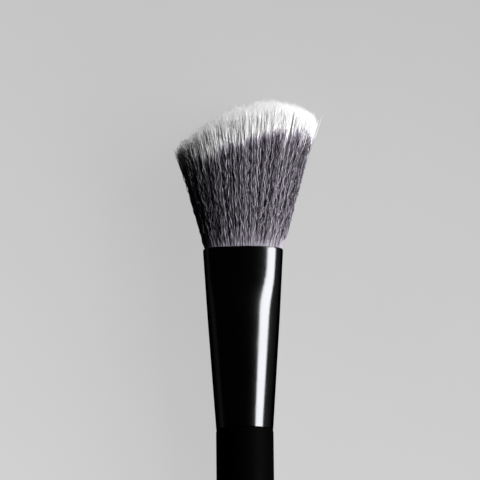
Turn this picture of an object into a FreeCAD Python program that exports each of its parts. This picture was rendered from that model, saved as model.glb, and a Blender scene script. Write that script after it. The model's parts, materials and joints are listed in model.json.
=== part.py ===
import FreeCAD
import Part

import math
import os
import random

# Angled face brush, lying on its back on a table.
#
# A round wooden handle carries a thin aluminium ferrule on a glued tenon. The ferrule
# starts round at the handle, flares sideways and is pressed to a flat oval at its mouth.
# A bundle of synthetic fibres stands in the mouth, glued at the roots inside, tied with
# thread, fanned out like a cone and cut to a slanting dome. The fibres are dyed dark up
# to a ragged line a few millimetres short of their white tips.
#
# The brush is drawn upright first: Z runs along the handle towards the tips, with zero
# where the handle's shoulder meets the ferrule, X across the wide side and -Y towards
# the viewer. At the end it is laid on its back, with the tips towards +Y.
# All sizes are in millimetres, all angles in degrees.

# Handle
handle_radius = 6.1
grip_length = 13.0          # straight stretch below the shoulder
taper_length = 86.5         # long cone from the grip to the tail
tail_radius = 4.0
shoulder_round_in = 0.25    # the shoulder's rounding, measured inwards
shoulder_round_down = 0.75  # and down the side
shoulder_round_steps = 2
tenon_length = 14.0
tenon_play = 0.12           # all round, between the tenon and the ferrule's wall
tenon_chamfer = 0.6
groove_share = 0.45         # height of the glue groove, share of the tenon's length
groove_width = 2.4
groove_depth = 0.45

# Ferrule
ferrule_length = 38.4
ferrule_wall = 0.35
foot_step = 0.05            # how far the foot stays inside the handle's side
body_flare = 1.65           # growth of the half width from the foot to the press
body_swell = 0.15           # growth of the half depth over the same stretch
press_blend = 9.5           # stretch over which round turns into flat oval
press_land = 4.9            # flat stretch below the mouth
mouth_half_width = 8.55
mouth_half_depth = 4.95
mouth_fullness = 0.88       # how full the mouth's corners are: 0.707 is a plain ellipse, 1 is boxier
lip_round = 0.3             # how far the lip's rounding rises
body_steps = 5              # bands in which the side is drawn
press_steps = 6
land_steps = 2
lip_steps = 3

# Fibre bundle
fibre_gap = 0.05            # between the bundle and the ferrule's wall at the mouth
root_depth = 13.4           # how far the roots reach below the mouth
tie_squeeze = 0.83          # how much tighter the thread ties the bundle than the mouth does
root_sides = 32             # flats round the gathered roots
fan_angle = 15.2            # lean of the outermost fibres on the wide side
crown_height = 31.5         # tips above the mouth, on the axis
cut_slant = 5.5             # rise of the cut from the axis to the high corner
toe_fall = 4.4              # rounding of the low corner
heel_fall = 9.1             # rounding of the high corner
face_fall = 3.5             # rounding towards the front and the back
corner_power = 2.35         # how late the corners start to round
white_length = 6.0          # white tips on the axis
white_trim = 0.45           # share by which they get shorter at the corners

# Locks, the small wisps into which the fibres gather
ring_count = 8
locks_per_ring_step = 8     # each ring has this many locks more than the one inside it
furrow_depth = 0.045        # share of the radius
notch = 0.34                # depth of the gap between two tips, share of the white
dye_rise = 0.24             # dark points that climb in the furrows, share of the white
dye_dip = 0.22              # white points that reach down the ridges
tip_scatter = 0.45          # unevenness of the tips
seat_depth = 0.6            # how far the fluted part starts inside the mouth

# Glue and thread inside the ferrule
glue_below_roots = 5.0
glue_collar = 3.4           # how far the glue climbs round the roots
thread_diameter = 0.5
thread_valley = 0.15        # how deep the pressed turns still are where they meet
thread_turns = 2
thread_height = 1.4         # lowest turn above the root ends

ORIGIN = FreeCAD.Vector(0, 0, 0)
ALONG_X = FreeCAD.Vector(1, 0, 0)
ALONG_Z = FreeCAD.Vector(0, 0, 1)

foot_radius = handle_radius - foot_step
body_half_width = foot_radius + body_flare
body_half_depth = foot_radius + body_swell
press_end = ferrule_length - press_land
press_start = press_end - press_blend
tenon_radius = foot_radius - ferrule_wall - tenon_play
groove_height = groove_share * tenon_length
root_end = ferrule_length - root_depth
fan_width = mouth_half_width - ferrule_wall - fibre_gap
fan_depth = mouth_half_depth - ferrule_wall - fibre_gap
fan_reach = fan_width / math.tan(math.radians(fan_angle))
tie_end = root_end + glue_collar

scatter = random.Random(7)


def smooth_step(value, start, end):
    """0 before start, 1 after end, and an even S curve between them."""
    share = min(max((value - start) / (end - start), 0.0), 1.0)
    return share * share * (3 - 2 * share)


def half_width(z):
    """Half of the ferrule's outer width: two straight flares."""
    if z <= press_start:
        return foot_radius + body_flare * z / press_start
    share = (z - press_start) / (ferrule_length - press_start)
    return body_half_width + (mouth_half_width - body_half_width) * share


def half_depth(z):
    """Half of the ferrule's outer depth: nearly straight, then pressed in."""
    round_part = foot_radius + body_swell * min(z / press_start, 1.0)
    pressed = smooth_step(z, press_start, press_end)
    return round_part + (mouth_half_depth - round_part) * pressed


def fullness(z):
    """How full the corners of the ferrule's section are: a circle at the foot, fuller when pressed."""
    plain = math.sqrt(0.5)
    return plain + (mouth_fullness - plain) * smooth_step(z, press_start, press_end)


def levels(bottom, top, count):
    """Evenly spaced heights between two levels, both included."""
    return [bottom + (top - bottom) * i / count for i in range(count + 1)]


def oval_curve(z, half_wide, half_deep, full):
    """An exact oval at a height, as nine poles and their weights."""
    ring = [(1, 0), (1, 1), (0, 1), (-1, 1), (-1, 0), (-1, -1), (0, -1), (1, -1), (1, 0)]
    poles = [FreeCAD.Vector(half_wide * x, half_deep * y, z) for x, y in ring]
    weights = [full if i % 2 else 1.0 for i in range(len(ring))]
    return poles, weights


def oval_band(lower, upper):
    """A straight-sided band between two ovals, each a height, half width, half depth and fullness."""
    low_poles, low_weights = oval_curve(*lower)
    high_poles, high_weights = oval_curve(*upper)
    poles = [[low, high] for low, high in zip(low_poles, high_poles)]
    pairs = [[low, high] for low, high in zip(low_weights, high_weights)]
    surface = Part.BSplineSurface()
    surface.buildFromPolesMultsKnots(
        poles, [3, 2, 2, 2, 3], [2, 2], [0, 1, 2, 3, 4], [0, 1], False, False, 2, 1, pairs)
    return surface


def oval_face(row):
    """A flat oval face."""
    line = oval_band(row, (row[0] + 1,) + row[1:]).vIso(0)
    return Part.Face(Part.Wire(line.toShape()))


def bands(rows):
    """The side faces through a column of ovals."""
    return [oval_band(low, high).toShape() for low, high in zip(rows, rows[1:])]


def plane_face(points):
    """A flat face round some points."""
    return Part.Face(Part.makePolygon(points + points[:1]))


def closed_solid(faces):
    """One solid from faces that shut it all round."""
    shell = Part.makeShell(faces)
    shell.sewShape()
    solid = Part.makeSolid(shell)
    if solid.Volume < 0:
        solid.reverse()
    return solid


def oval_bar(rows):
    """A solid bar through a column of ovals, lowest first."""
    return closed_solid([oval_face(rows[0]), oval_face(rows[-1])] + bands(rows))


def oval_place(radius, turn):
    """A place in the bundle, -1 to 1 each way, on an oval as full as the mouth."""
    x, y = math.cos(turn), math.sin(turn)
    span = abs(x) + abs(y)
    full = 4 * mouth_fullness * mouth_fullness
    a = span * span - full * abs(x * y)
    b = span * (full - 2)
    out = radius * (math.sqrt(b * b + 4 * a * (full - 1)) - b) / (2 * a)
    return out * x, out * y


def root_ring(z, half_wide, half_deep):
    """The corners of the gathered bundle at a height."""
    places = [oval_place(1, 2 * math.pi * i / root_sides) for i in range(root_sides)]
    return [FreeCAD.Vector(half_wide * x, half_deep * y, z) for x, y in places]


def flat_sided_bar(rows):
    """A solid bar with flat facets through a column of sections, lowest first."""
    rings = [root_ring(*row) for row in rows]
    faces = [plane_face(rings[0]), plane_face(rings[-1])]
    for low, high in zip(rings, rings[1:]):
        for i in range(root_sides):
            faces.append(plane_face([low[i - 1], low[i], high[i]]))
            faces.append(plane_face([low[i - 1], high[i], high[i - 1]]))
    return closed_solid(faces)


def ferrule_rows(inset):
    """The ferrule's side from foot to mouth, drawn in by an inset."""
    heights = levels(0, press_start, body_steps)
    heights += levels(press_start, press_end, press_steps)[1:]
    heights += levels(press_end, ferrule_length, land_steps)[1:]
    return [(z, half_width(z) - inset, half_depth(z) - inset, fullness(z)) for z in heights]


def lip_rows():
    """Over the rounded lip of the mouth, from the outer side to the inner one."""
    rows = []
    for angle in levels(0, math.pi, lip_steps):
        inset = ferrule_wall * (1 - math.cos(angle)) / 2
        rise = lip_round * math.sin(angle)
        half_wide = mouth_half_width - inset
        half_deep = mouth_half_depth - inset
        rows.append((ferrule_length + rise, half_wide, half_deep, mouth_fullness))
    return rows


def slab(bottom, top):
    """A wide block between two heights, for trimming."""
    reach = 4 * (handle_radius + mouth_half_width)
    corner = FreeCAD.Vector(-reach / 2, -reach / 2, bottom)
    return Part.makeBox(reach, reach, top - bottom, corner)


def make_ferrule():
    """Drawn aluminium tube, round at the foot, flat oval with a rounded lip at the mouth."""
    outside = ferrule_rows(0)
    inside = ferrule_rows(ferrule_wall)
    foot = oval_face(outside[0]).cut(oval_face(inside[0]))
    return closed_solid(bands(outside) + bands(inside) + bands(lip_rows()) + foot.Faces)


def in_section(radius, z):
    """A point of a turned profile."""
    return FreeCAD.Vector(radius, 0, z)


def tenon_points():
    """The profile down the tenon, from its top over the glue groove to the shoulder."""
    groove_top = groove_height + groove_width / 2
    groove_bottom = groove_height - groove_width / 2
    sunk_radius = tenon_radius - groove_depth
    return [
        in_section(0, tenon_length),
        in_section(tenon_radius - tenon_chamfer, tenon_length),
        in_section(tenon_radius, tenon_length - tenon_chamfer),
        in_section(tenon_radius, groove_top),
        in_section(sunk_radius, groove_top),
        in_section(sunk_radius, groove_bottom),
        in_section(tenon_radius, groove_bottom),
        in_section(tenon_radius, 0),
    ]


def shoulder_points():
    """The profile over the softly rounded shoulder, down to the side."""
    points = []
    for angle in levels(0, math.pi / 2, shoulder_round_steps):
        radius = handle_radius - shoulder_round_in * (1 - math.sin(angle))
        points.append(in_section(radius, -shoulder_round_down * (1 - math.cos(angle))))
    return points


def make_handle():
    """Turned wood: tenon, shoulder, straight grip, long cone and round tail."""
    slope = math.atan((handle_radius - tail_radius) / taper_length)
    tail_start = -grip_length - taper_length
    dome_centre = tail_start + tail_radius * math.tan(slope)
    dome_radius = tail_radius / math.cos(slope)
    half_way = math.pi / 4 + slope / 2
    on_dome = in_section(dome_radius * math.cos(half_way), dome_centre - dome_radius * math.sin(half_way))
    taper_end = in_section(tail_radius, tail_start)
    tail = in_section(0, dome_centre - dome_radius)

    side = [in_section(handle_radius, -grip_length), taper_end]
    edges = Part.makePolygon(tenon_points() + shoulder_points() + side).Edges
    edges.append(Part.Arc(taper_end, on_dome, tail).toShape())
    edges.append(Part.makeLine(tail, in_section(0, tenon_length)))
    return Part.Face(Part.Wire(edges)).revolve(ORIGIN, ALONG_Z, 360)


def make_roots():
    """The gathered fibres inside the ferrule: tied tight below, spread to fill the mouth above."""
    tied = (tie_squeeze * fan_width, tie_squeeze * fan_depth)
    seat = ferrule_length - seat_depth
    rows = [(root_end,) + tied, (tie_end,) + tied]
    for z in (press_end, seat):
        rows.append((z, half_width(z) - ferrule_wall - fibre_gap, fan_depth))
    return flat_sided_bar(rows)


def make_thread():
    """Waxed thread wound round the roots, its turns pressed together."""
    core_wide = tie_squeeze * fan_width
    core_deep = tie_squeeze * fan_depth
    lowest = root_end + thread_height
    heights = levels(lowest, lowest + thread_turns * thread_diameter, 2 * thread_turns)
    rows = []
    for i, z in enumerate(heights):
        out = thread_diameter if i % 2 else thread_valley
        rows.append((z, core_wide + out, core_deep + out))
    core = flat_sided_bar([(z, core_wide, core_deep) for z in (heights[0], heights[-1])])
    return flat_sided_bar(rows).cut(core)


def make_root_glue(bore, roots, thread):
    """Hard glue that fills the ferrule below the roots and climbs round them."""
    fill = bore.common(slab(root_end - glue_below_roots, root_end + glue_collar))
    return fill.cut(roots).cut(thread)


def make_tenon_glue(bore, handle):
    """The ring of glue that locks the tenon's groove to the ferrule."""
    fill = bore.common(slab(groove_height - groove_width / 2, groove_height + groove_width / 2))
    return fill.cut(handle)


def tip_height(across, deep):
    """Height of the cut above the mouth for a fibre's place in the bundle, -1 to 1 each way."""
    fall = heel_fall if across > 0 else toe_fall
    return (crown_height + cut_slant * across
            - fall * abs(across) ** corner_power - face_fall * deep * deep)


def white_here(across):
    """Length of the white tips, shorter at the corners of the cut."""
    return white_length * (1 - white_trim * across * across)


def fibre_point(across, deep, height):
    """A point on the fibre that leaves the mouth at this place. All fibres fan out from one apex."""
    grown = 1 + height / fan_reach
    return FreeCAD.Vector(fan_width * across * grown, fan_depth * deep * grown, ferrule_length + height)


class Ring:
    """Fibres on one oval of the bundle: every second one is a lock, the rest lie between locks."""

    def __init__(self, number):
        locks = locks_per_ring_step * number
        self.places = []
        self.tips = []
        self.turns = []
        outermost = number == ring_count
        for i in range(2 * locks):
            turn = 2 * math.pi * (i + 0.5 * (number % 2)) / (2 * locks)
            between = i % 2 == 1
            radius = number / ring_count
            if outermost and between:
                radius -= furrow_depth
            elif not outermost:
                radius += scatter.uniform(-0.2, 0.2) / ring_count
            across, deep = oval_place(radius, turn)
            drop = notch * white_here(across) if between else 0
            uneven = scatter.uniform(-tip_scatter, tip_scatter) if not between else 0
            self.turns.append(turn)
            self.places.append((across, deep))
            self.tips.append(tip_height(across, deep) - drop + uneven)


def strip(inner, inner_turns, outer, outer_turns):
    """Triangles between two closed rings of points, zipped together by their angle."""
    faces = []
    i = j = 0
    while i < len(inner) or j < len(outer):
        next_inner = inner_turns[i] if i < len(inner) else math.inf
        next_outer = outer_turns[j] if j < len(outer) else math.inf
        a = inner[(i - 1) % len(inner)]
        b = outer[(j - 1) % len(outer)]
        if next_inner < next_outer:
            faces.append(plane_face([a, inner[i], b]))
            i += 1
        else:
            faces.append(plane_face([a, outer[j], b]))
            j += 1
    return faces


def make_crown_faces(rings):
    """The ragged top of the bundle: rings of pointed locks round a middle one."""
    middle = fibre_point(0, 0, tip_height(0, 0))
    points = [[fibre_point(x, y, h) for (x, y), h in zip(r.places, r.tips)] for r in rings]
    first = points[0]
    faces = [plane_face([middle, first[i - 1], first[i]]) for i in range(len(first))]
    for k in range(1, len(rings)):
        faces += strip(points[k - 1], rings[k - 1].turns, points[k], rings[k].turns)
    return faces


def dye_heights(ring):
    """Where the dye ends on each outer fibre: higher in the furrows, lower on the ridges."""
    heights = []
    for i, (across, deep) in enumerate(ring.places):
        white = white_here(across)
        ragged = scatter.uniform(0.4, 1.0) * white
        swing = dye_rise * ragged if i % 2 else -dye_dip * ragged
        heights.append(tip_height(across, deep) - white + swing)
    return heights


def make_dye_faces(ring, heights):
    """The surface where dark turns to white, ragged at the outside and plain within."""
    inner_share = 0.8
    outside = [fibre_point(x, y, h) for (x, y), h in zip(ring.places, heights)]
    inside = []
    for across, deep in ring.places:
        x = across * inner_share
        y = deep * inner_share
        inside.append(fibre_point(x, y, tip_height(x, y) - white_here(x)))
    middle = fibre_point(0, 0, tip_height(0, 0) - white_here(0))
    count = len(outside)
    faces = []
    for i in range(count):
        faces.append(plane_face([inside[i - 1], inside[i], outside[i]]))
        faces.append(plane_face([inside[i - 1], outside[i], outside[i - 1]]))
        faces.append(plane_face([middle, inside[i], inside[i - 1]]))
    return faces


def make_wall_faces(ring, low, high):
    """The fluted side between two heights on each outer fibre. Each strip is flat, because
    neighbouring fibres meet at the apex of the fan."""
    lower = [fibre_point(x, y, h) for (x, y), h in zip(ring.places, low)]
    upper = [fibre_point(x, y, h) for (x, y), h in zip(ring.places, high)]
    return [plane_face([lower[i - 1], lower[i], upper[i], upper[i - 1]]) for i in range(len(lower))]


def make_fibres(roots):
    """The dark lengths with the roots, and the white tips, which meet at the dye line."""
    rings = [Ring(k + 1) for k in range(ring_count)]
    outer = rings[-1]
    dye = dye_heights(outer)
    dye_faces = make_dye_faces(outer, dye)
    seat = [-seat_depth] * len(dye)
    floor = plane_face([fibre_point(x, y, -seat_depth) for x, y in outer.places])
    fan = closed_solid([floor] + make_wall_faces(outer, seat, dye) + dye_faces)
    tips = closed_solid(dye_faces + make_wall_faces(outer, dye, outer.tips) + make_crown_faces(rings))
    return roots.fuse(fan), tips


def lowest(shapes, tilt):
    """Lowest level of some shapes when the brush is laid on its back with this tilt."""
    bottoms = []
    for shape in shapes:
        laid = shape.copy()
        laid.rotate(ORIGIN, ALONG_X, tilt - 90)
        bottoms.append(laid.optimalBoundingBox(False, False).ZMin)
    return min(bottoms)


def resting_tilt(head, tail):
    """The tilt at which the fibres and the tail of the handle touch the table together."""
    low, high = 0.0, 8.0
    for _ in range(16):
        middle = (low + high) / 2
        if lowest(head, middle) > lowest(tail, middle):
            high = middle
        else:
            low = middle
    return (low + high) / 2


def main():
    bore = oval_bar(ferrule_rows(ferrule_wall))
    handle = make_handle()
    ferrule = make_ferrule()
    roots = make_roots()
    thread = make_thread()
    root_glue = make_root_glue(bore, roots, thread)
    tenon_glue = make_tenon_glue(bore, handle)
    shafts, tips = make_fibres(roots)
    nodes = {
        "handle": handle,
        "ferrule": ferrule,
        "bristle_shafts": shafts,
        "bristle_tips": tips,
        "root_binding": thread,
        "root_glue": root_glue,
        "tenon_glue": tenon_glue,
    }

    tilt = resting_tilt([tips], [handle])
    for shape in nodes.values():
        shape.rotate(ORIGIN, ALONG_X, tilt - 90)
    box = Part.makeCompound(list(nodes.values())).optimalBoundingBox(False, False)
    to_table = FreeCAD.Vector(-box.Center.x, -box.Center.y, -box.ZMin)
    os.makedirs("parts", exist_ok=True)
    for name, shape in nodes.items():
        shape.translate(to_table)
        shape.exportStep(f"parts/{name}.step")
        print(name, "solids", len(shape.Solids), "volume", round(shape.Volume, 2), "valid", shape.isValid())
    print("tilt", round(tilt, 4), "joint at", to_table)


main()
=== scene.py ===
# %% [markdown]
# # An angled foundation brush
# The solid brush is already packed at its real size and lies on its back at the origin.
# This lesson dresses it: thousands of bristles, black lacquers, a pale table, soft lamps
# and a camera that looks down on it.
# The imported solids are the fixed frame. They could be remodelled here, but then sizes
# would drift, so the lesson only measures them and builds around them.

import json
import math

import bpy
import numpy as np
from mathutils import Matrix, Vector


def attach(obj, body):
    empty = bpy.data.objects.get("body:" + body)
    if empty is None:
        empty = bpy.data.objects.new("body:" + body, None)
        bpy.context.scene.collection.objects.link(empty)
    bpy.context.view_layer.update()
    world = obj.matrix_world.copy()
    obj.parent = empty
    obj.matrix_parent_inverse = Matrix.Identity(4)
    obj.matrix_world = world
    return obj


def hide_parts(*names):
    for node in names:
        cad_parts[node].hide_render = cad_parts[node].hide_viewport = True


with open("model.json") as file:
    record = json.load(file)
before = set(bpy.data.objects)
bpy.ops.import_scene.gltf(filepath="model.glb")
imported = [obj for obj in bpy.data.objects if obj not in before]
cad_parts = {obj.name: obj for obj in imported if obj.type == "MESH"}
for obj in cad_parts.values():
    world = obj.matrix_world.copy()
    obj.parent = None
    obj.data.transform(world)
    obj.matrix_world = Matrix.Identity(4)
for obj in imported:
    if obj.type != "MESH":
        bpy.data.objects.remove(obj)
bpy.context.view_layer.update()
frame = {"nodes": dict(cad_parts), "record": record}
bpy.context.scene.view_settings.view_transform = "Standard"
MM = 0.001

# %% [markdown]
# ## The brush's own directions
# The brush leans a little on the table, because head and tail touch it together.
# Every bristle and lamp could be placed in table coordinates, with the lean in each sum.
# It is easier to work in the brush's own directions, in millimetres: across the wide side,
# deep (down towards the table) and up the axis from the handle's shoulder to the tips.
# The grip's mount in the record says where the axis runs. The ferrule's highest point is
# the crest of its rounded lip, which stands 0.26 mm above the mouth.

# %% Own directions of the brush
grip = frame["record"]["mounts"][0]
tipward = -Vector(grip["axis"]).normalized()
across = Vector((1, 0, 0))
deep = tipward.cross(across).normalized()
on_axis = Vector(grip["pos_m"])


def along_axis(node):
    """Lowest and highest place of a node along the brush's axis, in metres from the grip."""
    places = [(v.co - on_axis).dot(tipward) for v in frame["nodes"][node].data.vertices]
    return min(places), max(places)


foot, lip_top = along_axis("ferrule")
shoulder = on_axis + tipward * foot
LIP_RISE = 0.26
mouth = (lip_top - foot) / MM - LIP_RISE
lean_angle = math.degrees(math.asin(tipward.z))
print("lean on the table:", round(lean_angle, 2), "degrees, mouth at", round(mouth, 2), "mm")


def to_world(points):
    """Turns points of the brush, in millimetres, into places in the scene, in metres."""
    axes = np.array([across, deep, tipward])
    return np.array(shoulder) + (np.asarray(points, float) * MM) @ axes


# %% [markdown]
# ## Camera
# The photograph is square and looks at the brush from a little towards the handle, which
# is why the ferrule's rim shows as a shallow arch. A lens could be guessed by eye. Here the
# scale does it: at the bristles' root one millimetre is 4.68 pixels of a 480 pixel picture.

# %% Camera
PICTURE = 480
PIXELS_PER_MM = 4.68
AIM = (-0.62, 0.0, mouth + 2.4)
FROM_HANDLE = math.radians(10.1)
ROLL = math.radians(0.55)
DISTANCE = 840.0
SENSOR = 36.0

towards_camera = -deep * math.cos(FROM_HANDLE) - tipward * math.sin(FROM_HANDLE)
upright = tipward * math.cos(FROM_HANDLE) - deep * math.sin(FROM_HANDLE)
upright.rotate(Matrix.Rotation(-ROLL, 3, towards_camera))
rightward = upright.cross(towards_camera)
camera_data = bpy.data.cameras.new("camera")
camera_data.sensor_width = SENSOR
camera_data.lens = SENSOR * DISTANCE / (PICTURE / PIXELS_PER_MM)
camera = bpy.data.objects.new("camera", camera_data)
bpy.context.scene.collection.objects.link(camera)
turn = Matrix((rightward, upright, towards_camera)).transposed()
aim = Vector(to_world([AIM])[0])
camera.matrix_world = Matrix.Translation(aim + towards_camera * DISTANCE * MM) @ turn.to_4x4()
bpy.context.scene.camera = camera
print("lens:", round(camera_data.lens, 1), "mm")

# %% [markdown]
# ## Light
# The ferrule shows one long white streak right of its middle and is black elsewhere, so the
# studio has one bright soft panel on the right and a dark ceiling. A bare lamp would give a
# thin hot line. The panel gives the streak its width and its soft edges.
# Two more panels are for the bristles: one low on the right, towards the handle, rakes over
# their right side, and one beyond the tips lights the cut. Neither is seen in reflections,
# or the ferrule would show three streaks.

# %% Lamps and world
def soft_panel(name, direction, distance, size, strength, mirrored=True):
    """A rectangular lamp that faces the bristles' root. Strength is how bright its face looks."""
    lamp = bpy.data.lights.new(name, "AREA")
    lamp.shape = "RECTANGLE"
    lamp.size, lamp.size_y = size
    lamp.energy = strength * math.pi * size[0] * size[1]
    panel = bpy.data.objects.new(name, lamp)
    bpy.context.scene.collection.objects.link(panel)
    back = Vector(direction).normalized()
    side = Vector((0, 1, 0)).cross(back).normalized()
    facing = Matrix((side, back.cross(side), back)).transposed().to_4x4()
    panel.matrix_world = Matrix.Translation(aim + back * distance) @ facing
    panel.visible_glossy = mirrored
    return panel


def from_right(from_above, towards_tips):
    """Direction of a lamp on the right, by its angle from the zenith and its lean towards the tips."""
    above, lean = math.radians(from_above), math.radians(towards_tips)
    return (math.sin(above) * math.cos(lean), math.sin(lean), math.cos(above) * math.cos(lean))


key = soft_panel("key_panel", from_right(60, 17), 0.55, (0.33, 0.48), 10.0)
side = soft_panel("side_panel", from_right(72, -22), 0.55, (0.20, 0.48), 14.0, mirrored=False)
top = soft_panel("crown_panel", (0.42, 1.0, 0.38), 0.6, (0.5, 0.3), 4.3, mirrored=False)
print("lamps in watts:", {lamp.name: round(lamp.data.energy, 1) for lamp in (key, side, top)})

world = bpy.data.worlds.new("studio")
bpy.context.scene.world = world
world.use_nodes = True
world.node_tree.nodes["Background"].inputs["Color"].default_value = (0.9, 0.95, 1.0, 1)
world.node_tree.nodes["Background"].inputs["Strength"].default_value = 0.005

# %% [markdown]
# ## Node helpers
# Materials could be put together by hand in the shader editor. In a script each of them is
# the same few moves: add a node, give it its values, link it to the next. A helper for each
# move leaves only the lines in which the materials differ.

# %% Node helpers
def new_material(name):
    """A node material. Returns it with its tree and its shader."""
    material = bpy.data.materials.new(name)
    material.use_nodes = True
    tree = material.node_tree
    return material, tree, tree.nodes["Principled BSDF"]


def add_node(tree, kind, **settings):
    """Adds a node. Settings named like its inputs become their values, the rest its properties."""
    node = tree.nodes.new(kind)
    for name, value in settings.items():
        socket = node.inputs.get(name.replace("_", " "))
        if socket is not None:
            socket.default_value = value
        else:
            setattr(node, name, value)
    return node


def math_node(tree, operation, first, second=0.5, clamp=False):
    """One sum of two values or sockets. Returns the result's socket."""
    node = tree.nodes.new("ShaderNodeMath")
    node.operation = operation
    node.use_clamp = clamp
    for socket, value in zip(node.inputs, (first, second)):
        if isinstance(value, bpy.types.NodeSocket):
            tree.links.new(value, socket)
        else:
            socket.default_value = value
    return node.outputs[0]


def mix_colours(tree, share, first, second):
    """Blends two colours or sockets. Returns the result's socket."""
    node = tree.nodes.new("ShaderNodeMix")
    node.data_type = "RGBA"
    for socket, value in ((node.inputs[0], share), (node.inputs[6], first), (node.inputs[7], second)):
        if isinstance(value, bpy.types.NodeSocket):
            tree.links.new(value, socket)
        else:
            socket.default_value = value
    return node.outputs[2]


print("node helpers are ready")

# %% [markdown]
# ## Table
# A plain pale sheet lies under the brush. A modelled sweep could rise behind it, but the
# camera looks down and never sees one. A sheet lit to that tone would throw its light back
# on the brush, so this one is dark and glows for the camera, but lights nothing.
# The lacquer in the photograph mirrors almost none of the sheet, so reflections see only a
# few hundredths of the glow. It fades a little towards the tips and to the right, and a faint
# mottling keeps it from looking like paint.

# %% Table
def mesh_object(name, points, faces, material):
    """A smooth mesh from places in the scene, with one material."""
    mesh = bpy.data.meshes.new(name)
    mesh.from_pydata([tuple(p) for p in points], [], [tuple(f) for f in faces])
    mesh.polygons.foreach_set("use_smooth", [True] * len(mesh.polygons))
    mesh.materials.append(material)
    obj = bpy.data.objects.new(name, mesh)
    bpy.context.scene.collection.objects.link(obj)
    return obj


GLOW, GLOW_PER_METRE = 0.56, (-0.5, -0.75)
MIRRORED_SHARE = 0.03
SHEET_TONE, SEEN_SHEET_TONE = (0.04, 0.04, 0.04, 1), (0.07, 0.07, 0.07, 1)
table_material, tree, shader = new_material("table_sheet")
mottle = add_node(tree, "ShaderNodeTexNoise", Scale=40.0, Detail=3.0)
place = add_node(tree, "ShaderNodeTexCoord")
tree.links.new(place.outputs["Object"], mottle.inputs["Vector"])
tone = mix_colours(tree, mottle.outputs["Fac"], (0.97, 0.97, 0.97, 1), (1, 1, 1, 1))
sight = add_node(tree, "ShaderNodeLightPath")
mirrored = math_node(tree, "MULTIPLY", sight.outputs["Is Glossy Ray"], MIRRORED_SHARE)
looked_at = math_node(tree, "ADD", sight.outputs["Is Camera Ray"], mirrored)
looked_at = math_node(tree, "ADD", looked_at, sight.outputs["Is Transmission Ray"], clamp=True)
seen = mix_colours(tree, looked_at, SHEET_TONE, SEEN_SHEET_TONE)
tint = add_node(tree, "ShaderNodeMix", data_type="RGBA", blend_type="MULTIPLY")
tint.inputs[0].default_value = 1.0
tree.links.new(seen, tint.inputs[6])
tree.links.new(tone, tint.inputs[7])
tree.links.new(tint.outputs[2], shader.inputs["Base Color"])
tree.links.new(tone, shader.inputs["Emission Color"])
sides = add_node(tree, "ShaderNodeSeparateXYZ")
tree.links.new(place.outputs["Object"], sides.inputs[0])
slope = math_node(tree, "MULTIPLY", sides.outputs["Y"], GLOW_PER_METRE[1])
slope = math_node(tree, "ADD", slope, math_node(tree, "MULTIPLY", sides.outputs["X"], GLOW_PER_METRE[0]))
glow = math_node(tree, "MULTIPLY", looked_at, math_node(tree, "ADD", slope, GLOW))
tree.links.new(glow, shader.inputs["Emission Strength"])
shader.inputs["Roughness"].default_value = 0.9
shader.inputs["Specular IOR Level"].default_value = 0.0

HALF_SHEET = 2.5
corners = [(x * HALF_SHEET, y * HALF_SHEET, 0) for x, y in ((-1, -1), (1, -1), (1, 1), (-1, 1))]
table = mesh_object("table", corners, [(0, 1, 2, 3)], table_material)
print("table:", 2 * HALF_SHEET, "m square")

# %% [markdown]
# ## Unevenness of lacquer
# Sprayed lacquer is never a perfect mirror: it has a slight orange peel and thin smudges from
# handling. Painting that by hand on each part would never match in scale. One node group
# makes it from two noises, and both lacquers take it with their own values.

# %% Lacquer unevenness group
def new_group(name, inputs, outputs):
    """A shader node group with named sockets. Returns its tree and its inner ends."""
    group = bpy.data.node_groups.new(name, "ShaderNodeTree")
    for label, kind, value in inputs:
        socket = group.interface.new_socket(label, in_out="INPUT", socket_type=kind)
        if value is not None:
            socket.default_value = value
    for label, kind in outputs:
        group.interface.new_socket(label, in_out="OUTPUT", socket_type=kind)
    return group, group.nodes.new("NodeGroupInput"), group.nodes.new("NodeGroupOutput")


VALUE, COLOUR, PLACE = "NodeSocketFloat", "NodeSocketColor", "NodeSocketVector"
lacquer_group, start, end = new_group(
    "lacquer_unevenness",
    [("Place", PLACE, None), ("Peel Scale", VALUE, 900.0), ("Smudge Scale", VALUE, 60.0),
     ("Clean Roughness", VALUE, 0.1), ("Smudged Roughness", VALUE, 0.2)],
    [("Height", VALUE), ("Roughness", VALUE)])
peel = add_node(lacquer_group, "ShaderNodeTexNoise", Detail=2.0)
smudge = add_node(lacquer_group, "ShaderNodeTexNoise", Detail=5.0, Roughness=0.6)
spread = add_node(lacquer_group, "ShaderNodeMapRange", From_Min=0.42, From_Max=0.68)
lacquer_group.links.new(start.outputs["Place"], peel.inputs["Vector"])
lacquer_group.links.new(start.outputs["Place"], smudge.inputs["Vector"])
lacquer_group.links.new(start.outputs["Peel Scale"], peel.inputs["Scale"])
lacquer_group.links.new(start.outputs["Smudge Scale"], smudge.inputs["Scale"])
lacquer_group.links.new(smudge.outputs["Fac"], spread.inputs["Value"])
lacquer_group.links.new(start.outputs["Clean Roughness"], spread.inputs["To Min"])
lacquer_group.links.new(start.outputs["Smudged Roughness"], spread.inputs["To Max"])
lacquer_group.links.new(peel.outputs["Fac"], end.inputs["Height"])
lacquer_group.links.new(spread.outputs["Result"], end.inputs["Roughness"])
print("nodes in the lacquer group:", len(lacquer_group.nodes))


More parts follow.
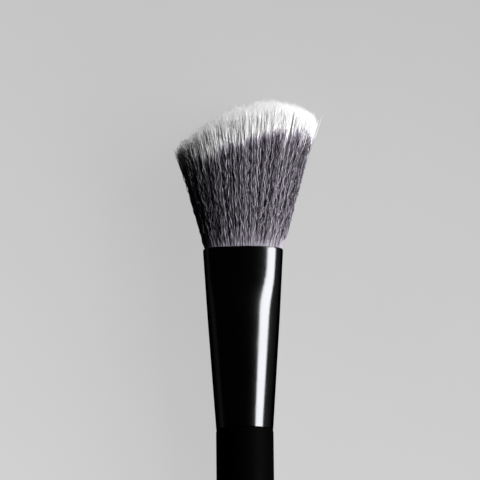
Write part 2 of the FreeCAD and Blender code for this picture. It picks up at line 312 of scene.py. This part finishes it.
def lacquer(name, colour, peel_depth, **values):
    """A lacquered surface: one colour, uneven gloss and a fine orange peel."""
    material, tree, shader = new_material(name)
    place = add_node(tree, "ShaderNodeTexCoord")
    uneven = add_node(tree, "ShaderNodeGroup", node_tree=lacquer_group)
    for label, value in values.items():
        uneven.inputs[label.replace("_", " ")].default_value = value
    bump = add_node(tree, "ShaderNodeBump", Strength=1.0, Distance=peel_depth)
    tree.links.new(place.outputs["Object"], uneven.inputs["Place"])
    tree.links.new(uneven.outputs["Height"], bump.inputs["Height"])
    tree.links.new(bump.outputs["Normal"], shader.inputs["Normal"])
    tree.links.new(uneven.outputs["Roughness"], shader.inputs["Roughness"])
    shader.inputs["Base Color"].default_value = colour
    return material, shader


# %% [markdown]
# ## Handle and ferrule
# The handle is turned wood under a deep matte black lacquer that gives almost no streak.
# The ferrule is aluminium under a hard gloss black. A plain black with a clear coat would
# mirror the pale table strongly at its edges, and the real one stays dark there, so it is
# a very dark metal whose edge tint is black.

# %% Lacquers on the handle and the ferrule
def dress(node, material):
    """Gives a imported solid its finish."""
    obj = frame["nodes"][node]
    obj.data.materials.clear()
    obj.data.materials.append(material)
    return obj


handle_black, shader = lacquer(
    "handle_black", (0.0005, 0.0005, 0.00055, 1), 0.000004,
    Peel_Scale=2200.0, Smudge_Scale=55.0, Clean_Roughness=0.5, Smudged_Roughness=0.62)
shader.inputs["Specular IOR Level"].default_value = 0.012
dress("handle", handle_black)

ferrule_black, shader = lacquer(
    "ferrule_black", (0.093, 0.095, 0.099, 1), 0.0000008,
    Peel_Scale=700.0, Smudge_Scale=90.0, Clean_Roughness=0.155, Smudged_Roughness=0.19)
shader.inputs["Metallic"].default_value = 1.0
shader.inputs["Specular Tint"].default_value = (0.0, 0.0, 0.0, 1)
dress("ferrule", ferrule_black)
print("lacquered: handle and ferrule")

# %% [markdown]
# ## Glue and thread
# These sit inside the ferrule and only show if it is taken off. They could stay bare, but
# then whoever opens the brush finds grey blocks. They are amber glue with cloudy patches and
# pale waxed thread, and the lacquer's own group makes both: it is the same unevenness at
# other scales.

# %% Glue and thread
amber_glue, shader = lacquer(
    "amber_glue", (0.45, 0.27, 0.09, 1), 0.00001,
    Peel_Scale=500.0, Smudge_Scale=200.0, Clean_Roughness=0.15, Smudged_Roughness=0.45)
waxed_thread, shader = lacquer(
    "waxed_thread", (0.55, 0.48, 0.36, 1), 0.00003,
    Peel_Scale=3500.0, Smudge_Scale=600.0, Clean_Roughness=0.5, Smudged_Roughness=0.8)
for node in ("root_glue", "tenon_glue"):
    dress(node, amber_glue)
dress("root_binding", waxed_thread)
print("dressed inside the ferrule: two glues and the thread")

# %% [markdown]
# ## The form of the head
# All bristles leave an oval mouth and fan out as if from one point inside the ferrule.
# The tips were cut to a slanting dome: high on the right, low on the left, with rounded
# corners. The white begins a few millimetres below the tips, and on the high side the
# bristles stand a little looser than the fan alone would put them.
# The form could be sculpted as one block. Here it is a few formulas, because every bristle
# asks them for its own place and height.
# A place in the bundle is given by two shares from -1 to 1, across and deep.

# %% Form of the head
FAN_WIDTH, FAN_DEPTH = 8.15, 4.55
FAN_ANGLE = math.radians(15.2)
FAN_REACH = FAN_WIDTH / math.tan(FAN_ANGLE)
FULLNESS = 0.88
CROWN, SLANT = 31.5, 5.5
RIGHT_FALL, LEFT_FALL, DEEP_FALL = 9.1, 4.4, 3.5
CORNER_POWER = 2.35
LONGEST_WHITE, SIDE_SHORTENING = 6.0, 0.45
LOOSE_SIDE, LOOSE_RISE = 0.5, 5.0
BELOW_MOUTH = 0.8


def tip_height(x, y):
    """Height of the cut above the mouth, for a place in the bundle."""
    fall = np.where(x > 0, RIGHT_FALL, LEFT_FALL)
    return CROWN + SLANT * x - fall * np.abs(x) ** CORNER_POWER - DEEP_FALL * y * y


def white_length(x):
    """Length of the white tips, which shortens towards both sides."""
    return LONGEST_WHITE * (1 - SIDE_SHORTENING * x * x)


def oval_place(radius, turn):
    """A place in the bundle, on an oval with corners as full as the mouth's."""
    x, y = np.cos(turn), np.sin(turn)
    span = np.abs(x) + np.abs(y)
    full = 4 * FULLNESS ** 2
    a = span ** 2 - full * np.abs(x * y)
    b = span * (full - 2)
    out = radius * (np.sqrt(b * b + 4 * a * (full - 1)) - b) / (2 * a)
    return out * x, out * y


def in_head(x, y, height):
    """The point at a height above the mouth on the bristle that leaves it at this place."""
    grown = 1 + height / FAN_REACH
    loose = LOOSE_SIDE * np.clip(x, 0, 1) ** 2 * np.clip(height / LOOSE_RISE, 0, 1)
    return np.stack([FAN_WIDTH * x * grown + loose, FAN_DEPTH * y * grown, mouth + height], axis=-1)


print("heights of the cut, left to right:", np.round(tip_height(np.linspace(-0.95, 0.95, 5), 0), 1))

# %% [markdown]
# ## Colour of a bristle
# Each bristle is dyed near black, turns lavender for a millimetre and ends white. Some are
# paler all along: partly real paler strands, partly a painted highlight that stands in for the
# glints light gives on shiny dark fibres. The dye thins out where the bristles leave the mouth.
# A picture could hold that, but a map does it with no picture: every bristle lies in one
# of 128 columns of the map, and its height there is its stage from root to tip. The group
# turns column and stage into a colour, so all bristles of one column are dyed alike.

# %% Bristle dye group
COLUMNS = 128
ROOT_STAGE, DYE_STAGE, WHITE_STAGE = 0.08, 0.60, 0.665

dye_group, start, end = new_group(
    "bristle_dye",
    [("Column", VALUE, 0.0), ("Stage", VALUE, 0.0), ("Dark", COLOUR, (0.03, 0.03, 0.03, 1)),
     ("Pale Strand And Glint", COLOUR, (0.3, 0.3, 0.3, 1)), ("Turn", COLOUR, (0.3, 0.25, 0.35, 1)),
     ("White", COLOUR, (0.8, 0.8, 0.8, 1)), ("Rareness", VALUE, 2.3)],
    [("Colour", COLOUR), ("White Share", VALUE)])
column = math_node(dye_group, "FLOOR", math_node(dye_group, "MULTIPLY", start.outputs["Column"], COLUMNS))


def column_chance(seed):
    """A number from 0 to 1 for each column, another one for each seed."""
    noise = add_node(dye_group, "ShaderNodeTexWhiteNoise", noise_dimensions="1D")
    dye_group.links.new(math_node(dye_group, "ADD", column, seed), noise.inputs["W"])
    return noise.outputs["Value"]


def between(value, low, high):
    """0 below low, 1 above high, smooth between."""
    node = add_node(dye_group, "ShaderNodeMapRange", interpolation_type="SMOOTHSTEP")
    for label, item in (("Value", value), ("From Min", low), ("From Max", high)):
        socket = node.inputs[label]
        if isinstance(item, bpy.types.NodeSocket):
            dye_group.links.new(item, socket)
        else:
            socket.default_value = item
    return node.outputs["Result"]


stage = start.outputs["Stage"]
# Share of the pale colour in each column: partly real paler strands, partly a painted highlight for glints
# on shiny dark fibres.
pale_and_glint_share = math_node(dye_group, "POWER", column_chance(0.37), start.outputs["Rareness"])
shaft = mix_colours(dye_group, pale_and_glint_share, start.outputs["Dark"], start.outputs["Pale Strand And Glint"])
root_end = math_node(dye_group, "MULTIPLY", column_chance(9.73), ROOT_STAGE * 2.8)
root_pale = math_node(dye_group, "SUBTRACT", 1.0, between(stage, 0.02, root_end))
root_pale = math_node(dye_group, "MULTIPLY", root_pale, 0.9)
shaft = mix_colours(dye_group, root_pale, shaft, start.outputs["Pale Strand And Glint"])
turn_share = between(stage, DYE_STAGE - 0.035, DYE_STAGE + 0.02)
white_share = between(stage, DYE_STAGE - 0.01, WHITE_STAGE)
colour = mix_colours(dye_group, turn_share, shaft, start.outputs["Turn"])
colour = mix_colours(dye_group, white_share, colour, start.outputs["White"])
dye_group.links.new(colour, end.inputs["Colour"])
dye_group.links.new(white_share, end.inputs["White Share"])
print("nodes in the dye group:", len(dye_group.nodes))

# %% [markdown]
# ## The fibre
# The bristles are thin plastic fibres, and plastic is milky: light soaks in and leaves on
# the other side. Plain white paint would look like chalk instead. Subsurface scattering over
# a tenth of a millimetre, about a bristle's thickness, lets the white tips glow softly.
# The dye group gives the colour, and the white ends are a little duller than the dark lengths.

# %% Fibre material
bristle_material, tree, shader = new_material("bristle_fibre")
map_place = add_node(tree, "ShaderNodeUVMap", uv_map="OFBake")
parts = add_node(tree, "ShaderNodeSeparateXYZ")
dye = add_node(tree, "ShaderNodeGroup", node_tree=dye_group)
dye.inputs["Dark"].default_value = (0.010, 0.008, 0.012, 1)
# Pale strands: partly real paler fibres, partly a painted highlight for glints of light on the dark fibres.
dye.inputs["Pale Strand And Glint"].default_value = (0.48, 0.445, 0.515, 1)
dye.inputs["Turn"].default_value = (0.42, 0.37, 0.46, 1)
dye.inputs["White"].default_value = (0.985, 0.975, 0.985, 1)
tree.links.new(map_place.outputs["UV"], parts.inputs[0])
tree.links.new(parts.outputs["X"], dye.inputs["Column"])
tree.links.new(parts.outputs["Y"], dye.inputs["Stage"])
tree.links.new(dye.outputs["Colour"], shader.inputs["Base Color"])
shader.inputs["Specular IOR Level"].default_value = 0.15
shader.inputs["Subsurface Weight"].default_value = 1.0
shader.inputs["Subsurface Radius"].default_value = (1.0, 1.0, 1.0)
shader.inputs["Subsurface Scale"].default_value = 0.0001
shine = add_node(tree, "ShaderNodeMapRange", To_Min=0.45, To_Max=0.6)
tree.links.new(dye.outputs["White Share"], shine.inputs["Value"])
tree.links.new(shine.outputs["Result"], shader.inputs["Roughness"])
print("nodes in the fibre material:", len(tree.nodes))

# %% [markdown]
# ## A bristle as geometry
# Blender has hair curves, but they don't travel to other programs, so each bristle is a
# real thin tube with three sides that tapers to a point. With shared points and smooth
# shading it still catches the light like a round one. Arrays build thousands at once:
# one row for each bristle, one column for each ring along it.

# %% Bristle mesh builder
def unit(vectors):
    """Vectors scaled to length 1."""
    return vectors / np.linalg.norm(vectors, axis=-1, keepdims=True)


def tube_faces(rings):
    """Triangles of one bristle, and for each corner its ring and its place around that ring."""
    sides = np.arange(3)
    following = (sides + 1) % 3
    triangles, heights, widths = [[0, 2, 1]], [[0, 0, 0]], [[0, 2, 1]]
    for ring in range(rings - 2):
        low, high = 3 * ring, 3 * ring + 3
        for j, k in zip(sides, following):
            triangles += [[low + j, low + k, high + k], [low + j, high + k, high + j]]
            heights += [[ring, ring, ring + 1], [ring, ring + 1, ring + 1]]
            widths += [[j, j + 1, j + 1], [j, j + 1, j]]
    top = 3 * (rings - 2)
    for j, k in zip(sides, following):
        triangles.append([top + j, top + k, top + 3])
        heights.append([rings - 2, rings - 2, rings - 1])
        widths.append([j, j + 1, j + 0.5])
    return np.array(triangles), np.array(heights), np.array(widths)


def bristle_mesh(name, path, radius, stage, column):
    """One mesh of many bristles. The path has a centre for each bristle and ring, and the last
    ring closes to a point."""
    count, rings = stage.shape
    along = unit(np.gradient(path, axis=1))
    side = unit(np.cross(along, np.array([0.31, 0.9, 0.13])))
    other = np.cross(along, side)
    angles = np.arange(3) * 2 * math.pi / 3
    spokes = (side[:, :-1, None] * np.cos(angles)[:, None] + other[:, :-1, None] * np.sin(angles)[:, None])
    body = path[:, :-1, None] + spokes * radius[:, :-1, None, None]
    points = np.concatenate([body.reshape(count, -1, 3), path[:, -1:]], axis=1)

    triangles, heights, widths = tube_faces(rings)
    per_bristle = points.shape[1]
    corners = (triangles[None] + (np.arange(count) * per_bristle)[:, None, None]).ravel()
    across_column = (column[:, None, None] + 0.15 + 0.7 * widths[None] / 3) / COLUMNS
    up_column = stage[:, heights]
    up_column[:, 0, 2] += 0.01
    faces = len(corners) // 3

    mesh = bpy.data.meshes.new(name)
    mesh.vertices.add(count * per_bristle)
    mesh.loops.add(len(corners))
    mesh.polygons.add(faces)
    mesh.vertices.foreach_set("co", to_world(points.reshape(-1, 3)).astype(np.float32).ravel())
    mesh.loops.foreach_set("vertex_index", corners.astype(np.int32))
    mesh.polygons.foreach_set("loop_start", np.arange(0, len(corners), 3, dtype=np.int32))
    mesh.update(calc_edges=True)
    mesh.polygons.foreach_set("use_smooth", np.ones(faces, bool))
    layer = mesh.uv_layers.new(name="OFBake")
    uv = np.stack([across_column, up_column], axis=-1)
    layer.uv.foreach_set("vector", uv.astype(np.float32).ravel())
    mesh.materials.append(bristle_material)
    obj = bpy.data.objects.new(name, mesh)
    bpy.context.scene.collection.objects.link(obj)
    print(name, count, "bristles,", faces, "triangles")
    return obj


# %% [markdown]
# ## How bristles gather
# Bristles don't stand evenly. A dozen or two stick together as a wisp, bend the same way and
# end in one ragged point. Bending each bristle at random would give felt, so all bristles of
# a wisp share one slow wave. Some wisps are white from lower down, where the dye missed them.
# Wisps are made first, then every bristle joins the nearest one.

# %% Wisps
WAVE_LENGTH, WAVE_SIZE = (6.0, 11.0), (0.04, 0.11)
MISSED_WISPS, MISSED_WISP_LENGTH = 0.04, (1.0, 3.0)


def oval_places(chance, count, inner, outer):
    """Even places in the bundle between two shares of its radius."""
    radius = np.sqrt(chance.uniform(inner ** 2, outer ** 2, count))
    turn = chance.uniform(0, 2 * math.pi, count)
    return oval_place(radius, turn)


def make_wisps(chance, count, inner, outer):
    """Wisps with their place, wave, tip height, dye height and colour column."""
    x, y = oval_places(chance, count, inner, outer)
    low_dye = (chance.random(count) < MISSED_WISPS) * chance.uniform(*MISSED_WISP_LENGTH, count)
    return {
        "x": x, "y": y,
        "phase": chance.uniform(0, 2 * math.pi, (2, count)),
        "length": chance.uniform(*WAVE_LENGTH, (2, count)),
        "size": chance.uniform(*WAVE_SIZE, (2, count)),
        "tip": 0.3 * chance.standard_normal(count),
        "dye": chance.normal(0, 0.45, count) - low_dye,
        "column": chance.integers(0, COLUMNS, count)}


def nearest(x, y, wisps):
    """For each place, the number of the wisp that is nearest in millimetres."""
    found = np.empty(len(x), int)
    for part in np.array_split(np.arange(len(x)), max(1, len(x) // 500)):
        wide = (x[part, None] - wisps["x"]) * FAN_WIDTH
        tall = (y[part, None] - wisps["y"]) * FAN_DEPTH
        found[part] = np.argmin(wide ** 2 + tall ** 2, axis=1)
    return found


print("waves of a wisp in mm: length", WAVE_LENGTH, "size", WAVE_SIZE)

# %% [markdown]
# ## The path of a bristle
# A bristle rises from the mouth to the line where its dye ends, and on to its tip. On the way
# it draws nearer to the middle of its wisp, follows the wisp's wave and adds a short crimp of
# its own. On the high side the cut is dense and smooth, so the bristles there gather less.
# Each path could be a curve drawn by hand. Arrays make them all at once: one row for each
# bristle, one column for each ring.

# %% Paths of the bristles
TIP_SPREAD, DYE_SPREAD, LONGER_WHITE = 0.5, 0.55, 0.2
WISP_PEAK, PEAK_SLOPE = 0.4, 0.3
MISSED_BRISTLES, MISSED_BRISTLE_LENGTH = 0.06, (1.5, 5.0)
SHORTEST_WHITE = 1.0
ROOT_LEVEL = 2.2
CRIMP_LENGTH = (2.0, 3.4)
SPLAY, LEFT_SPLAY = (0.22, 0.1), 0.12
OWN_COLUMN_SHARE = 0.7


def gathering(x):
    """How firmly the bristles gather at a place across: least on the high side."""
    return np.clip(0.6 - 0.8 * x, 0.15, 1)


def stages_along(height, dye, tip):
    """The stage of each ring, which passes ROOT_STAGE at the root's level and DYE_STAGE at the dye line."""
    lower = np.clip(height / ROOT_LEVEL, 0, 1) * ROOT_STAGE
    middle = np.clip((height - ROOT_LEVEL) / (dye[:, None] - ROOT_LEVEL), 0, 1) * (DYE_STAGE - ROOT_STAGE)
    upper = np.clip((height - dye[:, None]) / (tip - dye)[:, None], 0, 1) * (0.99 - DYE_STAGE)
    return 0.005 + lower + middle + upper


def bristle_paths(chance, x, y, wisps, start_height, rings_below, rings_above, crimp, gather, sunk=0.0):
    """Ring centres, stages and columns for bristles that leave the mouth at x, y. The first
    rings can lie deeper in the bundle, by a share of the radius."""
    count = len(x)
    own = nearest(x, y, wisps)
    aside = np.hypot((x - wisps["x"][own]) * FAN_WIDTH, (y - wisps["y"][own]) * FAN_DEPTH)
    locked = gathering(x)
    tip = tip_height(x, y) + wisps["tip"][own] + WISP_PEAK - (PEAK_SLOPE + locked) * aside
    tip -= TIP_SPREAD * np.abs(chance.standard_normal(count))
    ragged = wisps["dye"][own] + chance.normal(-LONGER_WHITE, DYE_SPREAD, count)
    ragged -= (chance.random(count) < MISSED_BRISTLES) * chance.uniform(*MISSED_BRISTLE_LENGTH, count)
    dye = np.minimum(tip_height(x, y) - white_length(x) + ragged, tip - SHORTEST_WHITE)

    below = np.linspace(0, 1, rings_below)
    above = np.linspace(0, 1, rings_above + 1)[1:]
    height = np.concatenate([
        start_height[:, None] + (dye - start_height)[:, None] * below,
        dye[:, None] + (tip - dye)[:, None] * above], axis=1)
    stage = stages_along(height, dye, tip)

    risen = np.clip(height / tip[:, None], 0, 1)
    drawn = gather * locked[:, None] * risen ** 0.8
    place_x = x[:, None] + (wisps["x"][own] - x)[:, None] * drawn
    place_y = y[:, None] + (wisps["y"][own] - y)[:, None] * drawn
    buried = 1 - sunk * (1 - np.linspace(0, 1, rings_below + rings_above)) ** 2
    path = in_head(place_x * buried, place_y * buried, height)
    free = np.clip(height / 3.0, 0, 1)
    for axis in range(2):
        wave = wisps["size"][axis, own, None] * np.sin(
            2 * math.pi * height / wisps["length"][axis, own, None] + wisps["phase"][axis, own, None])
        length = chance.uniform(*CRIMP_LENGTH, (count, 1))
        size = crimp * chance.uniform(0.3, 1.0, (count, 1))
        short = size * np.sin(2 * math.pi * height / length + chance.uniform(0, 2 * math.pi, (count, 1)))
        widest = SPLAY[axis] + LEFT_SPLAY * np.clip(-x, 0, 1)
        splay = widest[:, None] * chance.standard_normal((count, 1)) * risen ** 3
        path[..., axis] += free * (wave + short) + splay
    own_column = chance.random(count) < OWN_COLUMN_SHARE
    column = np.where(own_column, chance.integers(0, COLUMNS, count), wisps["column"][own])
    return path, stage, column


def radii(stage, thick, point):
    """Bristles are even up to the dye line and taper in the white."""
    tapered = np.clip((stage - DYE_STAGE) / (1 - DYE_STAGE), 0, 1)
    return thick + (point - thick) * tapered ** 1.5


print("stages of a bristle: root", ROOT_STAGE, "dye line", DYE_STAGE, "white from", WHITE_STAGE)

# %% [markdown]
# ## The outer bristles
# Only the outer bristles show along their whole length, so only they get many rings and a
# strong crimp. They could be one piece, but one with most of a million triangles is slow to
# handle everywhere, so they are four.

# %% Outer bristles
chance = np.random.default_rng(11)
outer_wisps = make_wisps(chance, 520, 0.84, 0.99)
OUTER_PIECES, OUTER_COUNT = 4, 650
OUTER_CRIMP, OUTER_GATHER = 0.16, 0.5
outer = []
for part in range(OUTER_PIECES):
    x, y = oval_places(chance, OUTER_COUNT, 0.87, 0.99)
    path, stage_rows, columns = bristle_paths(
        chance, x, y, outer_wisps, np.full(OUTER_COUNT, -BELOW_MOUTH),
        rings_below=38, rings_above=4, crimp=OUTER_CRIMP, gather=OUTER_GATHER)
    thick = chance.uniform(0.045, 0.09, (OUTER_COUNT, 1))
    tubes = radii(stage_rows, thick, 0.016)
    outer.append(bristle_mesh(f"outer_bristles_{part + 1}", path, tubes, stage_rows, columns))

# %% [markdown]
# ## The ends
# Inside the bundle only the ends show, so these bristles start below the dye line and are
# finer. Whole bristles would look the same and cost about ten times the triangles.
# One set thickens the ends of the outer wisps, the other fills the crown. On the crown's low
# side the dye line is raised, which shortens the white there and makes that side look darker:
# this is painted shade, standing in for the shade that falls on those whites.

# %% Ends of the bristles
END_CRIMP, END_SUNK, END_RADIUS = 0.05, 0.12, 0.065


def ends(name, count, inner, outer_share, wisps, rings, gather):
    """Short fine bristles that show only the last part of their length."""
    x, y = oval_places(chance, count, inner, outer_share)
    start_height = tip_height(x, y) - white_length(x) - chance.uniform(5.0, 9.0, count)
    path, stage_rows, columns = bristle_paths(
        chance, x, y, wisps, start_height, rings, rings - 1, END_CRIMP, gather, sunk=END_SUNK)
    return bristle_mesh(name, path, radii(stage_rows, END_RADIUS, 0.014), stage_rows, columns)


inner_wisps = make_wisps(chance, 420, 0.0, 0.9)
# Painted shade: the inner wisps' dye line is raised towards the crown's low side, so their whites are
# shorter and that side looks darker.
inner_wisps["dye"] += 2.0 * np.clip(0.15 - inner_wisps["x"], 0, 0.8)
rim_ends = [ends("rim_ends", 4400, 0.84, 0.99, outer_wisps, 4, 0.15)]
crown = [ends("crown_ends", 8700, 0.0, 0.9, inner_wisps, 3, 0.55)]

# %% [markdown]
# ## Strays
# A few bristles always escape the cut and the bundle. On the real brush one long hair leans
# out at the high corner. They could be drawn by chance, but then they would land anywhere,
# so each has its place, its lean in millimetres and how far it outgrows the others.

# %% Stray bristles
STRAYS = [(0.985, 0.05, 1.7, 1.6), (0.975, -0.2, 1.0, 0.4), (0.96, 0.3, 0.8, 0.9), (-0.975, -0.1, -0.8, 0.5),
          (-0.93, 0.4, -0.6, 0.9), (0.4, -0.1, 0.3, 0.8), (-0.3, 0.1, -0.4, 0.9), (0.1, 0.2, 0.2, 1.0)]
stray_x, stray_y, lean, outgrown = np.array(STRAYS).T
path, stage_rows, columns = bristle_paths(
    chance, stray_x, stray_y, outer_wisps, np.full(len(STRAYS), 8.0),
    rings_below=20, rings_above=8, crimp=0.03, gather=0.0)
rise = np.linspace(0, 1, path.shape[1])
path[..., 0] += lean[:, None] * rise ** 2.5
path[..., 2] += outgrown[:, None] * rise ** 4
strays = bristle_mesh("stray_bristles", path, radii(stage_rows, 0.045, 0.025), stage_rows, columns)

# %% [markdown]
# ## The mass behind
# Thousands of inner bristles fill the head. Nobody sees them one by one, but light and sight
# mustn't pass through. One closed form just inside the outer bristles stands for them.

# %% Inner mass
CORE_SHARE, CORE_NARROWING = 0.84, 0.16
AROUND, UP, IN = 96, 12, 6
SUNK = 4.2
turns = np.linspace(0, 2 * math.pi, AROUND, endpoint=False)
rows = []
for k in range(UP + 1):
    share = CORE_SHARE - CORE_NARROWING * (k / UP) ** 3
    core_x, core_y = oval_place(share, turns)
    top = tip_height(core_x, core_y) - SUNK
    rows.append(in_head(core_x, core_y, -BELOW_MOUTH + (top + BELOW_MOUTH) * k / UP))
stages = [0.02 + 0.66 * k / UP for k in range(UP + 1)]
for k in range(1, IN):
    share = 1 - k / IN
    inner_x, inner_y = core_x * share, core_y * share
    rows.append(in_head(inner_x, inner_y, tip_height(inner_x, inner_y) - SUNK))
    stages.append(0.68 + 0.3 * k / IN)
middle = np.zeros(1)
summit_point = in_head(middle, middle, tip_height(middle, middle) - SUNK)
points = np.concatenate(rows + [summit_point, [[0, 0, mouth - BELOW_MOUTH]]])
faces = []
for k in range(len(rows) - 1):
    for i in range(AROUND):
        j = (i + 1) % AROUND
        faces.append((k * AROUND + i, k * AROUND + j, (k + 1) * AROUND + j, (k + 1) * AROUND + i))
last = (len(rows) - 1) * AROUND
summit = len(points) - 2
for i in range(AROUND):
    faces.append((last + i, last + (i + 1) % AROUND, summit))
    faces.append(((i + 1) % AROUND, i, summit + 1))
core = mesh_object("inner_bristles", to_world(points), faces, bristle_material)
print("inner mass:", len(faces), "faces")

# %% [markdown]
# ## The map of the inner mass
# The dye reads its column and stage from a map, so the inner mass needs one too. Blender can
# unwrap it by itself, but then the dye line would fall anywhere. Here the turn round the
# brush is the column, and each ring's level is the stage. The last face of a ring ends at 1
# and doesn't go back to 0. At the summit and the base all columns meet, so each face there
# has its own place in the map for that point.

# %% Map of the inner mass
layer = core.data.uv_layers.new(name="OFBake")
level = np.repeat(stages + [0.99, 0.01], [AROUND] * len(rows) + [1, 1])
for polygon in core.data.polygons:
    corner_turns = [core.data.loops[loop].vertex_index % AROUND for loop in polygon.loop_indices]
    for loop, at in zip(polygon.loop_indices, corner_turns):
        vertex = core.data.loops[loop].vertex_index
        if vertex >= summit:
            at = corner_turns[0] + 0.5
        elif 0 in corner_turns and AROUND - 1 in corner_turns and at == 0:
            at = AROUND
        layer.uv[loop].vector = (at / AROUND, level[vertex])
print("stages in the map: from", level.min(), "to", level.max())

# %% [markdown]
# ## Fastening the pieces
# The brush is one rigid body, so every new piece rides on it. The outer bristles stand for
# the dark solid and the crown for the white one, so those two are hidden. They could be kept
# inside as filling, but their facets would show between the bristles.

# %% Ride and hide
for obj in outer + [strays, core]:
    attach(obj, "root")
for obj in crown + rim_ends:
    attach(obj, "root")
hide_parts("bristle_shafts")
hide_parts("bristle_tips")
new_pieces = outer + [strays, core] + crown + rim_ends
triangles = sum(len(face.vertices) - 2 for piece in new_pieces for face in piece.data.polygons)
print("new pieces:", len(new_pieces), "with", triangles, "triangles")
